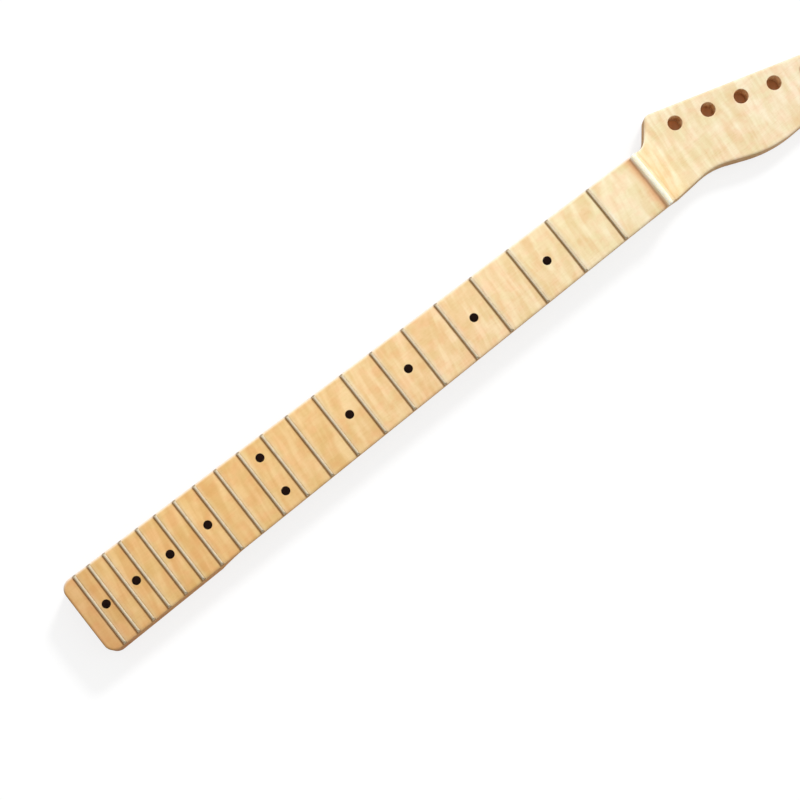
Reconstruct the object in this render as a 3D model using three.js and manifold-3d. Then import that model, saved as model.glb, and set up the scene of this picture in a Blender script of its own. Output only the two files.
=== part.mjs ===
// Electric guitar neck: a one-piece maple neck with frets, nut, position dots, back stripe and truss rod.
// Millimetres. +X runs from the heel to the headstock, +Y to the bass side, +Z out of the fingerboard.
// The origin is the middle of the heel's flat back, where the neck seats in the pocket of a guitar body.

import * as THREE from "three";
import { mergeVertices } from "three/addons/utils/BufferGeometryUtils.js";
import Module from "manifold-3d";

const wasm = await Module();
wasm.setup();

// Scale, board and blank
const scale_length = 648;
const fret_count = 21;
const frets_per_octave = 12;
const board_past_last_fret = 11.6;
const nut_width = 41.3;
const heel_width = 56;
const board_radius = 241;
const board_facet_width = 7;
const blank_thickness = 25.4;
const heel_corner_radius = 7.5;
const heel_seat_length = 76;

// Rounded back of the neck
const back_relief_at_first_fret = 4.4;
const back_relief_at_twelfth_fret = 2.4;
const profile_exponent = 2.3;
const profile_side_margin = 0.4;
const profile_shoulder_depth = 2;
const profile_steps = 9;
const heel_scoop_from_end = 108;
const heel_scoop_radius = 22;
const heel_scoop_angle = 75;
const back_ramp_before_nut = 34;
const back_ramp_radius = 40;
const back_ramp_angle = 20;
const back_spread_radius = 16;
const back_spread_angle = 75;
const back_outside_blank = 60;
const shaft_step_length = 33;
const flare_steps = 10;

// Headstock
const headstock_thickness = 14.4;
const headstock_bass_reach = 37.6;
const headstock_treble_reach = 33.1;
const bass_edge_angle = 16.2;
const flare_corner_radius = 14;
const bass_corner_radius = 5;
const tip_bass_radius = 12;
const tip_treble_radius = 9;
const shoulder_radius = 85;
const waist_radius = 45;
const face_ramp_radius = 18;
const nut_ledge_length = 2;
const tuner_count = 6;
const tuner_hole_diameter = 10;
const tuner_pitch = 24.05;
const tuner_line_angle = 15.7;
const tuner_first_from_nut = 40.2;
const tuner_edge_distance = 12;
const tip_past_last_tuner = 33;

// Frets and nut
const fret_crown_width = 2.4;
const fret_crown_height = 1.1;
const fret_tang_thickness = 0.55;
const fret_tang_depth = 1.6;
const fret_end_inset = 0.3;
const fret_bevel_run = 0.7;
const fret_end_height_share = 0.3;
const nut_thickness = 3.4;
const nut_above_board = 2.3;
const nut_slot_depth = 3.4;

// Position dots
const dot_diameter = 6;
const dot_depth = 2;
const dot_pair_spacing = 27.2;
const side_dot_diameter = 2;
const side_dot_depth = 2;
const side_dot_below_edge = 2.6;
const side_dot_pair_spacing = 8;
const single_dot_frets = [3, 5, 7, 9, 15, 17, 19, 21];
const double_dot_fret = 12;

// Truss rod, its anchor at the nut end and its adjuster in the end of the heel
const rod_diameter = 4.8;
const rod_side_clearance = 0.6;
const rod_below_board = 10.6;
const rod_cover_at_dip = 3.4;
const rod_steps = 24;
const channel_end_before_nut = 42;
const channel_web_at_bore = 3.8;
const anchor_length = 9;
const anchor_height = 10;
const anchor_from_channel_end = 4;
const adjuster_diameter = 9.2;
const adjuster_length = 10;
const adjuster_recess = 1;
const adjuster_slot_width = 1.6;
const adjuster_slot_depth = 3;
const adjuster_floor = 1.6;
const washer_thickness = 1.2;

// Fits
const seat_clearance = 0.05;
const rod_clearance = 0.2;
const running_clearance = 0.3;
const cut_overrun = 6;

// Smoothness of round shapes
const arc_step_angle = 4.5;
const hole_sides = 24;
const dot_sides = 20;
const side_dot_sides = 12;
const rod_sides = 12;
const crown_steps = 4;
const same_place_share = 0.02;

// Outline corners of the headstock as shares: along its length, and out to the reach of its own side
const bass_corner_along_share = 0.1418;
const flare_corner_along_share = 0.0677;
const tip_treble_along_share = 0.984;
const tip_treble_out_share = 0.88;
const shoulder_along_share = 0.4312;
const waist_along_share = 0.2217;
const waist_out_share = 0.5214;

// Rounded top of the nut, as shares of its thickness and of its height above the board
const nut_top_shares = [[1, 0.3], [0.8, 0.78], [0.45, 1], [0.12, 0.97], [0, 0.82]];

const maple = { color: 0xf2cd8e, roughness: 0.3, metalness: 0 };
const walnut = { color: 0x1a0d07, roughness: 0.45, metalness: 0 };
const fret_metal = { color: 0xd6d2c6, roughness: 0.25, metalness: 1 };
const nut_plastic = { color: 0xfff6df, roughness: 0.35, metalness: 0 };
const dot_plastic = { color: 0x1a0b07, roughness: 0.35, metalness: 0 };
const steel = { color: 0x9a9a98, roughness: 0.4, metalness: 1 };

// Places along the neck
const nut_to_heel_end = fret_distance(fret_count) + board_past_last_fret;
const heel_end_x = -heel_seat_length / 2;
const nut_x = heel_end_x + nut_to_heel_end;
const tuner_run = (tuner_count - 1) * tuner_pitch * Math.cos(radians(tuner_line_angle));
const headstock_length = tuner_first_from_nut + tuner_run + tip_past_last_tuner;
const tip_x = nut_x + headstock_length;
const ledge_end_x = nut_x + nut_thickness + nut_ledge_length;

// The truss rod's channel runs from a web of wood at the adjuster's bore to its end before the nut.
const channel_width = rod_diameter + 2 * rod_side_clearance;
const bore_depth = adjuster_recess + adjuster_length + washer_thickness + 2 * seat_clearance;
const channel_low_x = heel_end_x + bore_depth + channel_web_at_bore;
const channel_high_x = nut_x - channel_end_before_nut;
const anchor_high_x = channel_high_x - channel_width / 2 - anchor_from_channel_end;
const anchor_low_x = anchor_high_x - anchor_length;
const rod_end_z = blank_thickness - rod_below_board;
const rod_middle_x = (channel_low_x + anchor_low_x) / 2;
const rod_dip = rod_end_z - (back_relief(rod_middle_x) + rod_cover_at_dip + rod_diameter / 2);

function radians(degrees) {
  return THREE.MathUtils.degToRad(degrees);
}

function fret_distance(number) {
  return scale_length * (1 - 2 ** (-number / frets_per_octave));
}

function fret_x(number) {
  return nut_x - fret_distance(number);
}

function between_frets_x(number) {
  return (fret_x(number - 1) + fret_x(number)) / 2;
}

function board_half_width(x) {
  return THREE.MathUtils.lerp(heel_width, nut_width, (x - heel_end_x) / nut_to_heel_end) / 2;
}

function evenly(from, to, steps) {
  return Array.from({ length: steps + 1 }, (_, i) => THREE.MathUtils.lerp(from, to, i / steps));
}

// Height of the crowned board at a distance from its middle line, on facets of one width.
// The first facet straddles the middle line.
function board_height(y) {
  const drop = (at) => board_radius - Math.sqrt(board_radius ** 2 - at ** 2);
  const outer_facets = Math.max(0, Math.abs(y) / board_facet_width - 1 / 2);
  const inner = (Math.floor(outer_facets) + 1 / 2) * board_facet_width;
  const outer = inner + board_facet_width;
  const share = outer_facets - Math.floor(outer_facets);
  const lost = THREE.MathUtils.lerp(drop(inner), drop(outer), share) - drop(board_facet_width / 2);
  return blank_thickness - lost;
}

// Places across the board from one edge to the other, with one on every edge between two facets
function across_board(half_length) {
  const places = [half_length];
  for (let y = board_facet_width / 2; y < half_length; y += board_facet_width) {
    if (half_length - y > same_place_share * board_facet_width) {
      places.push(y);
    }
  }
  const sorted = places.sort((a, b) => a - b);
  return [...sorted.map((y) => -y).reverse(), ...sorted];
}

// Height of the neck's back above the heel's back along the shaft, in a straight line through two frets
function back_relief(x) {
  const share = (x - fret_x(1)) / (fret_x(double_dot_fret) - fret_x(1));
  return THREE.MathUtils.lerp(back_relief_at_first_fret, back_relief_at_twelfth_fret, share);
}

// How far a surface has left its straight line: an arc that ends at an angle and runs on straight
function flare(distance, radius, degrees) {
  const arc_length = radius * Math.sin(radians(degrees));
  const along_arc = THREE.MathUtils.clamp(distance, 0, arc_length);
  const beyond = Math.max(0, distance - arc_length);
  const rise = radius - Math.sqrt(radius ** 2 - along_arc ** 2) + beyond * Math.tan(radians(degrees));
  return Math.min(rise, back_outside_blank);
}

function heel_scoop(x) {
  return flare(heel_end_x + heel_scoop_from_end - x, heel_scoop_radius, heel_scoop_angle);
}

function back_ramp(x) {
  return flare(x - (nut_x - back_ramp_before_nut), back_ramp_radius, back_ramp_angle);
}

function back_spread(x) {
  return flare(x - nut_x, back_spread_radius, back_spread_angle);
}

// A closed solid through profiles at a row of places, with flat ends and its faces turned outwards
function loft(places, profile_at, place_point) {
  const profiles = places.map(profile_at);
  const count = profiles[0].length;
  const points = profiles.flatMap((profile, i) => profile.map((p) => place_point(p, places[i])));
  const index = [];
  for (let ring = 0; ring + 1 < places.length; ring += 1) {
    for (let i = 0; i < count; i += 1) {
      const a = ring * count + i;
      const b = ring * count + ((i + 1) % count);
      index.push(a, b, a + count, b, b + count, a + count);
    }
  }
  const last = (places.length - 1) * count;
  index.push(...triangles_of(profiles[0]).flatMap(([a, b, c]) => [c, b, a]));
  index.push(...triangles_of(profiles.at(-1)).flat().map((i) => last + i));
  const geometry = new THREE.BufferGeometry().setFromPoints(points);
  geometry.setIndex(enclosed_volume(points, index) < 0 ? index.reverse() : index);
  return geometry;
}

// Triangles over a flat profile, each turned the same way as the profile itself
function triangles_of(profile) {
  const area = (a, b, c) => (b.x - a.x) * (c.y - a.y) - (c.x - a.x) * (b.y - a.y);
  const clockwise = THREE.ShapeUtils.isClockWise(profile);
  return THREE.ShapeUtils.triangulateShape(profile, []).map(([a, b, c]) => {
    const turned = area(profile[a], profile[b], profile[c]) < 0;
    return turned === clockwise ? [a, b, c] : [c, b, a];
  });
}

function enclosed_volume(points, index) {
  let volume = 0;
  for (let i = 0; i < index.length; i += 3) {
    const [a, b, c] = [points[index[i]], points[index[i + 1]], points[index[i + 2]]];
    volume += a.dot(new THREE.Vector3().crossVectors(b, c)) / 6;
  }
  return volume;
}

// Corners given as x, y and radius become an outline of straight lines and round arcs.
function rounded_outline(corners) {
  return corners.flatMap(([x, y, radius], i) => {
    const corner = new THREE.Vector2(x, y);
    const [x_before, y_before] = corners.at(i - 1);
    const [x_after, y_after] = corners[(i + 1) % corners.length];
    const back = new THREE.Vector2(x_before, y_before).sub(corner).normalize();
    const ahead = new THREE.Vector2(x_after, y_after).sub(corner).normalize();
    const half_corner = Math.acos(back.dot(ahead)) / 2;
    const centre = back.clone().add(ahead).setLength(radius / Math.sin(half_corner)).add(corner);
    const start = back.clone().multiplyScalar(radius / Math.tan(half_corner)).add(corner).sub(centre);
    const sweep = (Math.PI - 2 * half_corner) * -Math.sign(back.cross(ahead));
    const steps = Math.ceil(Math.abs(sweep) / radians(arc_step_angle));
    const spin = (angle) => start.clone().rotateAround(new THREE.Vector2(), angle).add(centre);
    return evenly(0, sweep, steps).map(spin);
  });
}

// Solids from outlines: seen from above, seen from the side, and round bars between two points
function upright_prism(outline, low_z, high_z) {
  return loft([low_z, high_z], () => outline, (p, z) => new THREE.Vector3(p.x, p.y, z));
}

function side_prism(outline, half_width) {
  return loft([-half_width, half_width], () => outline, (p, y) => new THREE.Vector3(p.x, y, p.y));
}

function rectangle(low_x, high_x, low_y, high_y) {
  const corners = [[low_x, low_y], [high_x, low_y], [high_x, high_y], [low_x, high_y]];
  return corners.map(([x, y]) => new THREE.Vector2(x, y));
}

function block(low, high) {
  return upright_prism(rectangle(low.x, high.x, low.y, high.y), low.z, high.z);
}

function round_bar(radius, sides, from, to) {
  const length = from.distanceTo(to);
  const bar = new THREE.CylinderGeometry(radius, radius, length, sides);
  const along = to.clone().sub(from).normalize();
  bar.applyQuaternion(new THREE.Quaternion().setFromUnitVectors(new THREE.Vector3(0, 1, 0), along));
  const middle = from.clone().lerp(to, 1 / 2);
  return bar.translate(middle.x, middle.y, middle.z);
}

function solid(geometry) {
  const bare = geometry.clone();
  bare.deleteAttribute("normal");
  bare.deleteAttribute("uv");
  const merged = mergeVertices(bare);
  const vertProperties = new Float32Array(merged.attributes.position.array);
  const triVerts = new Uint32Array(merged.index.array);
  return new wasm.Manifold(new wasm.Mesh({ numProp: 3, vertProperties, triVerts }));
}

function geometry_of(body) {
  const { vertProperties, triVerts } = body.getMesh();
  const geometry = new THREE.BufferGeometry();
  geometry.setAttribute("position", new THREE.BufferAttribute(vertProperties, 3));
  geometry.setIndex(new THREE.BufferAttribute(triVerts, 1));
  return geometry;
}

function two_digits(number) {
  return String(number).padStart(2, "0");
}

function named_mesh(name, geometry, look) {
  geometry.computeVertexNormals();
  const mesh = new THREE.Mesh(geometry, new THREE.MeshStandardMaterial({ ...look, flatShading: true }));
  mesh.name = name;
  return mesh;
}

// Plan of the whole neck: heel, tapering board, and headstock with its bass corner, tip, shoulder and waist
function neck_outline() {
  const bass_corner_x = nut_x + bass_corner_along_share * headstock_length;
  const flare_corner_x = nut_x + flare_corner_along_share * headstock_length;
  const treble = (along_share, out_share) => [
    nut_x + along_share * headstock_length,
    -out_share * headstock_treble_reach,
  ];
  return rounded_outline([
    [heel_end_x, board_half_width(heel_end_x), heel_corner_radius],
    [heel_end_x, -board_half_width(heel_end_x), heel_corner_radius],
    [nut_x, -board_half_width(nut_x), waist_radius],
    [...treble(waist_along_share, waist_out_share), waist_radius],
    [...treble(shoulder_along_share, 1), shoulder_radius],
    [...treble(tip_treble_along_share, tip_treble_out_share), tip_treble_radius],
    [tip_x, bass_edge_y(tip_x), tip_bass_radius],
    [bass_corner_x, headstock_bass_reach, bass_corner_radius],
    [flare_corner_x, board_half_width(flare_corner_x), flare_corner_radius],
  ]);
}

// The straight bass edge of the headstock, from its corner to the tip
function bass_edge_y(x) {
  const bass_corner_x = nut_x + bass_corner_along_share * headstock_length;
  return headstock_bass_reach - (x - bass_corner_x) * Math.tan(radians(bass_edge_angle));
}

// Places along the neck where the shape of its back changes, close together on the two curved ends
function places_along_back() {
  const scoop_high_x = heel_end_x + heel_scoop_from_end;
  const scoop_low_x = scoop_high_x - heel_scoop_radius * Math.sin(radians(heel_scoop_angle));
  const ramp_low_x = nut_x - back_ramp_before_nut;
  const ramp_high_x = ramp_low_x + back_ramp_radius * Math.sin(radians(back_ramp_angle));
  const spread_high_x = nut_x + back_spread_radius * Math.sin(radians(back_spread_angle));
  const outside_run = (degrees) => back_outside_blank / Math.tan(radians(degrees));
  const shaft_steps = Math.ceil((ramp_low_x - scoop_high_x) / shaft_step_length);
  return [
    heel_end_x - cut_overrun,
    scoop_low_x - outside_run(heel_scoop_angle),
    ...evenly(scoop_low_x, scoop_high_x, flare_steps),
    ...evenly(scoop_high_x, ramp_low_x, shaft_steps).slice(1),
    ...evenly(ramp_low_x, ramp_high_x, flare_steps / 2).slice(1),
    ...evenly(nut_x, spread_high_x, flare_steps),
    spread_high_x + outside_run(back_spread_angle),
    tip_x + cut_overrun,
  ];
}

// Section of the rounded back: a superellipse a little wider than the board, open at its top.
// It widens and deepens past the blank's flat faces at the heel and at the headstock.
function back_profile(x) {
  const half_width = board_half_width(x) + profile_side_margin + heel_scoop(x) + back_spread(x);
  const lowest = back_relief(x) - heel_scoop(x) - back_ramp(x);
  const shoulder = blank_thickness - profile_shoulder_depth;
  const power = 2 / profile_exponent;
  const curve = evenly(0, Math.PI, 2 * profile_steps).map((angle) => {
    const out = Math.sign(Math.cos(angle)) * Math.abs(Math.cos(angle)) ** power;
    const down = Math.max(0, Math.sin(angle)) ** power;
    return new THREE.Vector2(half_width * out, shoulder - (shoulder - lowest) * down);
  });
  const high_z = blank_thickness + cut_overrun;
  return [new THREE.Vector2(half_width, high_z), ...curve, new THREE.Vector2(-half_width, high_z)];
}

function rounded_back() {
  const place = (p, x) => new THREE.Vector3(x, p.x, p.y);
  return solid(loft(places_along_back(), back_profile, place));
}

function crowned_top() {
  const widest = 2 * Math.max(headstock_bass_reach, headstock_treble_reach, heel_width / 2);
  const top = across_board(widest).map((y) => new THREE.Vector2(y, board_height(y)));
  const low = [widest, -widest].map((y) => new THREE.Vector2(y, -cut_overrun));
  const section = [...low, ...top];
  const place = (p, x) => new THREE.Vector3(x, p.x, p.y);
  return solid(loft([heel_end_x - cut_overrun, tip_x + cut_overrun], () => section, place));
}

// What is sawn off above the headstock's face, with the round ramp behind the nut
function above_headstock() {
  const drop = blank_thickness - headstock_thickness;
  const start_angle = Math.acos((face_ramp_radius - drop) / face_ramp_radius);
  const arc_x = ledge_end_x + face_ramp_radius * Math.sin(start_angle);
  const arc_z = headstock_thickness + face_ramp_radius;
  const steps = Math.ceil(start_angle / radians(arc_step_angle));
  const arc = evenly(start_angle, 0, steps).map((angle) => new THREE.Vector2(
    arc_x - face_ramp_radius * Math.sin(angle),
    arc_z - face_ramp_radius * Math.cos(angle),
  ));
  const far_x = tip_x + cut_overrun;
  const high_z = blank_thickness + cut_overrun;
  return solid(side_prism([
    new THREE.Vector2(ledge_end_x, high_z),
    ...arc,
    new THREE.Vector2(far_x, headstock_thickness),
    new THREE.Vector2(far_x, high_z),
  ], 2 * headstock_bass_reach));
}

// A point of a section that stands across the board, with its height measured from the crowned top
function above_board(p, y) {
  return new THREE.Vector3(p.x, y, board_height(y) + p.y);
}

function fret_slot(number) {
  const x = fret_x(number);
  const half = fret_tang_thickness / 2 + seat_clearance;
  const depth = fret_tang_depth + seat_clearance;
  const section = rectangle(x - half, x + half, -depth, cut_overrun);
  return solid(loft(across_board(board_half_width(x) + cut_overrun), () => section, above_board));
}

// A fret: half-round crown over a thin tang, with both ends bevelled down to the board
function fret_geometry(number) {
  const x = fret_x(number);
  const half_length = board_half_width(x) - fret_end_inset;
  const bevel_start = half_length - fret_bevel_run;
  const section = (height) => {
    const crown = evenly(0, Math.PI, crown_steps).map((angle) => new THREE.Vector2(
      x + (fret_crown_width / 2) * Math.cos(angle),
      seat_clearance + height * Math.sin(angle),
    ));
    const half = fret_tang_thickness / 2;
    return [
      ...crown,
      new THREE.Vector2(x - half, seat_clearance),
      new THREE.Vector2(x - half, -fret_tang_depth),
      new THREE.Vector2(x + half, -fret_tang_depth),
      new THREE.Vector2(x + half, seat_clearance),
    ];
  };
  const places = [-half_length, ...across_board(bevel_start), half_length];
  const height_share = (y) => (Math.abs(y) > bevel_start ? fret_end_height_share : 1);
  return loft(places, (y) => section(fret_crown_height * height_share(y)), above_board);
}

function nut_slot() {
  const low_z = blank_thickness - nut_slot_depth;
  const half_width = board_half_width(nut_x) + cut_overrun;
  const low = new THREE.Vector3(nut_x, -half_width, low_z);
  const high = new THREE.Vector3(nut_x + nut_thickness, half_width, blank_thickness + cut_overrun);
  return solid(block(low, high));
}

// The nut: flat under its slot's floor, rounded on top, and as crowned as the board
function nut_geometry() {
  const low_x = nut_x + seat_clearance;
  const thickness = nut_thickness - 2 * seat_clearance;
  const floor_z = blank_thickness - nut_slot_depth + seat_clearance;
  const section = (y) => [
    new THREE.Vector2(low_x, floor_z),
    new THREE.Vector2(low_x + thickness, floor_z),
    ...nut_top_shares.map(([along, up]) => new THREE.Vector2(
      low_x + along * thickness,
      board_height(y) + up * nut_above_board,
    )),
  ];
  const half_length = board_half_width(nut_x + nut_thickness);
  return loft(across_board(half_length), section, (p, y) => new THREE.Vector3(p.x, y, p.y));
}

// Position dots stand square to the crowned board, so a pair leans outwards
function dot_places() {
  const lean = Math.asin(dot_pair_spacing / 2 / board_radius);
  const singles = single_dot_frets.map((fret) => ({ name: two_digits(fret), fret, y: 0, lean: 0 }));
  const pair = [
    { name: `${double_dot_fret}_bass`, fret: double_dot_fret, y: dot_pair_spacing / 2, lean: -lean },
    { name: `${double_dot_fret}_treble`, fret: double_dot_fret, y: -dot_pair_spacing / 2, lean },
  ];
  return [...singles, ...pair];
}

function put_dot(object, place) {
  object.position.set(between_frets_x(place.fret), place.y, board_height(place.y));
  object.rotation.set(Math.PI / 2 + place.lean, 0, 0);
  return object;
}

function dot_pocket(place) {
  const height = dot_depth + seat_clearance + cut_overrun;
  const geometry = new THREE.CylinderGeometry(dot_diameter / 2, dot_diameter / 2, height, dot_sides);
  geometry.translate(0, height / 2 - dot_depth - seat_clearance, 0);
  const holder = put_dot(new THREE.Object3D(), place);
  holder.updateMatrix();
  return solid(geometry.applyMatrix4(holder.matrix));
}

function dot_mesh(place) {
  const radius = dot_diameter / 2 - seat_clearance;
  const geometry = new THREE.CylinderGeometry(radius, radius, dot_depth, dot_sides);
  geometry.translate(0, -dot_depth / 2, 0);
  return put_dot(named_mesh(`dot_${place.name}`, geometry, dot_plastic), place);
}

// Side dots lie in the bass edge of the board, square to its taper
function side_dot_places() {
  const singles = single_dot_frets.map((fret) => ({ name: two_digits(fret), x: between_frets_x(fret) }));
  const middle = between_frets_x(double_dot_fret);
  const pair = [
    { name: `${double_dot_fret}_low`, x: middle - side_dot_pair_spacing / 2 },
    { name: `${double_dot_fret}_high`, x: middle + side_dot_pair_spacing / 2 },
  ];
  return [...singles, ...pair];
}

function put_side_dot(object, place) {
  const y = board_half_width(place.x);
  const taper = Math.atan((heel_width - nut_width) / 2 / nut_to_heel_end);
  object.position.set(place.x, y, board_height(y) - side_dot_below_edge);
  object.rotation.set(0, 0, -taper);
  return object;
}

function side_dot_pocket(place) {
  const height = side_dot_depth + seat_clearance + cut_overrun;
  const radius = side_dot_diameter / 2;
  const geometry = new THREE.CylinderGeometry(radius, radius, height, side_dot_sides);
  geometry.translate(0, height / 2 - side_dot_depth - seat_clearance, 0);
  const holder = put_side_dot(new THREE.Object3D(), place);
  holder.updateMatrix();
  return solid(geometry.applyMatrix4(holder.matrix));
}

function side_dot_mesh(place) {
  const radius = side_dot_diameter / 2 - seat_clearance;
  const geometry = new THREE.CylinderGeometry(radius, radius, side_dot_depth, side_dot_sides);
  geometry.translate(0, -side_dot_depth / 2, 0);
  return put_side_dot(named_mesh(`side_dot_${place.name}`, geometry, dot_plastic), place);
}

// Tuner holes lie on a straight line that starts at a set distance from the bass edge
function tuner_centres() {
  const first_x = nut_x + tuner_first_from_nut;
  const first_y = bass_edge_y(first_x) - tuner_edge_distance / Math.cos(radians(bass_edge_angle));
  return Array.from({ length: tuner_count }, (_, i) => new THREE.Vector2(
    first_x + i * tuner_pitch * Math.cos(radians(tuner_line_angle)),
    first_y - i * tuner_pitch * Math.sin(radians(tuner_line_angle)),
  ));
}

function tuner_hole(centre) {
  const low = new THREE.Vector3(centre.x, centre.y, -cut_overrun);
  const high = new THREE.Vector3(centre.x, centre.y, headstock_thickness + cut_overrun);
  return solid(round_bar(tuner_hole_diameter / 2, hole_sides, low, high));
}

// Height of the rod's middle line: level through the heel and the anchor, and dipping between them
function rod_z(x) {
  const share = THREE.MathUtils.clamp((x - channel_low_x) / (anchor_low_x - channel_low_x), 0, 1);
  return rod_end_z - rod_dip * Math.sin(Math.PI * share) ** 2;
}

// The routed channel seen from above, with round ends
function channel_outline(clearance) {
  const half = channel_width / 2 - clearance;
  const low_x = channel_low_x + clearance;
  const high_x = channel_high_x - clearance;
  const corners = [[low_x, half], [low_x, -half], [high_x, -half], [high_x, half]];
  return rounded_outline(corners.map(([x, y]) => [x, y, half * (1 - same_place_share)]));
}

// All that lies on the back's side of a line that follows the rod at an offset, as wide as the channel
function under_rod(offset, clearance) {
  const inside = evenly(channel_low_x, anchor_low_x, rod_steps);
  const xs = [channel_low_x - cut_overrun, ...inside, channel_high_x + cut_overrun];
  const line = xs.map((x) => new THREE.Vector2(x, rod_z(x) + offset));
  const low = [xs.at(-1), xs[0]].map((x) => new THREE.Vector2(x, -cut_overrun));
  const side = solid(side_prism([...line, ...low], channel_width));
  const high_z = blank_thickness + cut_overrun;
  return side.intersect(solid(upright_prism(channel_outline(clearance), -2 * cut_overrun, high_z)));
}

function anchor_block(clearance) {
  const half = channel_width / 2 - seat_clearance;
  const low = new THREE.Vector3(anchor_low_x, -half, rod_end_z - anchor_height / 2);
  const high = new THREE.Vector3(anchor_high_x, half, rod_end_z + anchor_height / 2);
  return solid(block(low.subScalar(clearance), high.addScalar(clearance)));
}

function bar_along_rod_axis(radius, sides, low_x, high_x) {
  const low = new THREE.Vector3(low_x, 0, rod_end_z);
  return round_bar(radius, sides, low, new THREE.Vector3(high_x, 0, rod_end_z));
}

function adjuster_bore() {
  const radius = adjuster_diameter / 2 + running_clearance;
  return solid(bar_along_rod_axis(radius, hole_sides, heel_end_x - cut_overrun, heel_end_x + bore_depth));
}

function rod_hole(low_x, high_x) {
  return solid(bar_along_rod_axis(rod_diameter / 2 + rod_clearance, rod_sides, low_x, high_x));
}

function rod_low_x() {
  return heel_end_x + adjuster_recess + adjuster_slot_depth + adjuster_floor + seat_clearance;
}

function rod_geometry() {
  const inside = evenly(channel_low_x, anchor_low_x, rod_steps);
  const places = [rod_low_x(), ...inside, anchor_high_x];
  const ring = evenly(0, 2 * Math.PI, rod_sides).slice(1).map((angle) => new THREE.Vector2(
    (rod_diameter / 2) * Math.cos(angle),
    (rod_diameter / 2) * Math.sin(angle),
  ));
  return loft(places, () => ring, (p, x) => new THREE.Vector3(x, p.x, rod_z(x) + p.y));
}

function anchor_geometry() {
  const hole = rod_hole(anchor_low_x - cut_overrun, anchor_high_x + cut_overrun);
  return geometry_of(anchor_block(0).subtract(hole));
}

function washer_geometry() {
  const high_x = heel_end_x + bore_depth - seat_clearance;
  const low_x = high_x - washer_thickness;
  const ring = solid(bar_along_rod_axis(adjuster_diameter / 2, hole_sides, low_x, high_x));
  return geometry_of(ring.subtract(rod_hole(low_x - cut_overrun, high_x + cut_overrun)));
}

// The adjuster: a round nut on the rod's end, with a blind bore and a cross slot in its outer face
function adjuster_geometry() {
  const low_x = heel_end_x + adjuster_recess;
  const high_x = low_x + adjuster_length;
  const body = solid(bar_along_rod_axis(adjuster_diameter / 2, hole_sides, low_x, high_x));
  const floor_x = low_x + adjuster_slot_depth + adjuster_floor;
  const bored = body.subtract(rod_hole(floor_x, high_x + cut_overrun));
  const half = adjuster_slot_width / 2;
  const reach = adjuster_diameter;
  const slot = (half_y, half_z) => solid(block(
    new THREE.Vector3(low_x - cut_overrun, -half_y, rod_end_z - half_z),
    new THREE.Vector3(low_x + adjuster_slot_depth, half_y, rod_end_z + half_z),
  ));
  return geometry_of(bored.subtract(slot(half, reach)).subtract(slot(reach, half)));
}

const back = rounded_back();
const blank = solid(upright_prism(neck_outline(), 0, blank_thickness + cut_overrun));
const rod_half_space = rod_diameter / 2 + rod_clearance;
const fret_numbers = Array.from({ length: fret_count }, (_, i) => i + 1);

function neck_geometry() {
  const cuts = [
    above_headstock(),
    nut_slot(),
    ...fret_numbers.map(fret_slot),
    ...dot_places().map(dot_pocket),
    ...side_dot_places().map(side_dot_pocket),
    ...tuner_centres().map(tuner_hole),
    under_rod(rod_half_space, 0),
    anchor_block(seat_clearance),
    adjuster_bore(),
    rod_hole(heel_end_x + bore_depth - seat_clearance, channel_low_x + channel_width),
  ];
  const carved = blank.intersect(back).intersect(crowned_top());
  return geometry_of(cuts.reduce((body, cut) => body.subtract(cut), carved));
}

// The dark stripe fills the channel from the rod out to the neck's back
function stripe_geometry() {
  const strip = under_rod(-rod_half_space, seat_clearance).intersect(blank).intersect(back);
  return geometry_of(strip.subtract(anchor_block(seat_clearance)));
}

function build() {
  const group = new THREE.Group();
  group.add(named_mesh("neck", neck_geometry(), maple));
  group.add(named_mesh("back_stripe", stripe_geometry(), walnut));
  group.add(named_mesh("nut", nut_geometry(), nut_plastic));
  for (const number of fret_numbers) {
    group.add(named_mesh(`fret_${two_digits(number)}`, fret_geometry(number), fret_metal));
  }
  group.add(...dot_places().map(dot_mesh));
  group.add(...side_dot_places().map(side_dot_mesh));
  group.add(named_mesh("truss_rod", rod_geometry(), steel));
  group.add(named_mesh("truss_rod_anchor", anchor_geometry(), steel));
  group.add(named_mesh("truss_rod_washer", washer_geometry(), steel));
  group.add(named_mesh("truss_rod_adjuster", adjuster_geometry(), steel));
  return group;
}

const group = build();

export default group;
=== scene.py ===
# Electric guitar neck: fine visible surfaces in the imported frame, with looks, camera, light and floor.
# Sizes are in millimetres, as in the model, and every mesh is scaled to metres when it is made.
# X runs from the heel to the headstock, Y to the bass side and Z out of the board.

import math

import bmesh
import bpy
import numpy as np
from mathutils import Matrix, Vector


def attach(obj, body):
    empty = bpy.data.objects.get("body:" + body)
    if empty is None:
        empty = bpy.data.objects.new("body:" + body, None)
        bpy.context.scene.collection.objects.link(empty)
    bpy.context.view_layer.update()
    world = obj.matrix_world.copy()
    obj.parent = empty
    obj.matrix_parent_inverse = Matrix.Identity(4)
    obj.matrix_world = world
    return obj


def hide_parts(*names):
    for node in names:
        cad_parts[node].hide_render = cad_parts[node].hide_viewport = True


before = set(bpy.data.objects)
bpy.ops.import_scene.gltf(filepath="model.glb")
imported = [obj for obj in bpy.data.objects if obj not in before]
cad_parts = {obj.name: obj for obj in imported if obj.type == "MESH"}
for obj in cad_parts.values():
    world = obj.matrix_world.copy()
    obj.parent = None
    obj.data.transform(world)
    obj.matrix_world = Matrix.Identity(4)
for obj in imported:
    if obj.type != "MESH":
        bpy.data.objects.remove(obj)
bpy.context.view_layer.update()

METRES = 0.001

# Board and blank
scale_length = 648
fret_count = 21
frets_per_octave = 12
board_past_last_fret = 11.6
nut_width = 41.3
heel_width = 56
board_radius = 241
blank_thickness = 25.4
heel_corner_radius = 7.5
heel_seat_length = 76

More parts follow.
